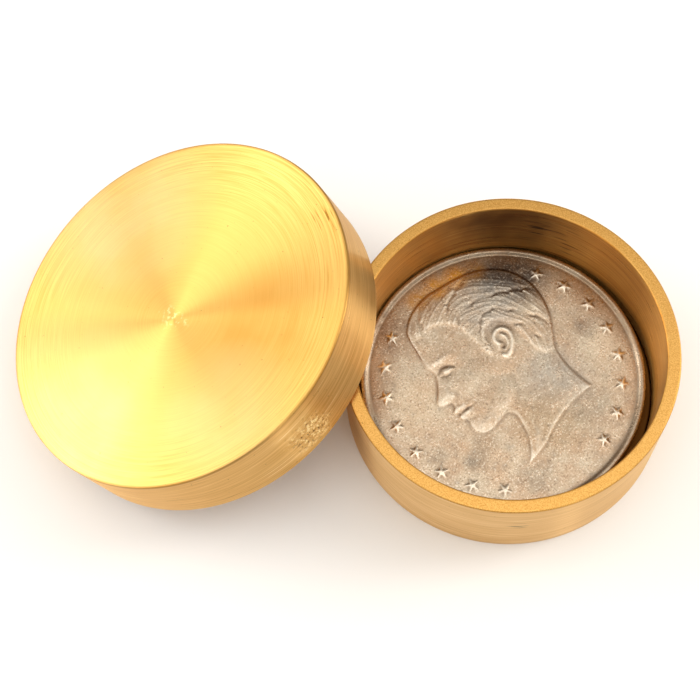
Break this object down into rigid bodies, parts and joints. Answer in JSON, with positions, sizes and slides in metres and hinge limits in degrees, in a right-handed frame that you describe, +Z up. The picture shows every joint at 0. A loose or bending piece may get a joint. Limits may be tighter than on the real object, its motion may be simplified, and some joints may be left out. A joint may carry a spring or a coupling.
{
  "type": "magic coin box",
  "caption": "Turned brass coin box, open, with a coin lying in it and its slip-on cap lid leaning against the rim.",
  "frame": {"origin": "centre of the box's flat base, on the surface it stands on", "axes": "+Z up along the box's axis, +X to the right in the picture; the lid leans on the box from the -X side"},
  "size_m": [0.0693, 0.0448, 0.0205],
  "materials": {
    "turned_brass": "lathe-turned and lightly polished, unlacquered, with fine turning lines",
    "worn_cupronickel": "worn and toned cupronickel"
  },
  "bodies": {
    "box": {"box": "turned_brass"},
    "lid": {"lid": "turned_brass"},
    "coin": {"coin": "worn_cupronickel"}
  },
  "joints": [
    {"name": "lid_lift", "type": "slide", "parent": "box", "child": "lid", "axis": [-0.3415, 0.0813, 0.9364], "range_m": [0, 0.04]},
    {"name": "coin_lift", "type": "slide", "parent": "box", "child": "coin", "axis": [0, 0, 1], "range_m": [0, 0.009]}
  ]
}
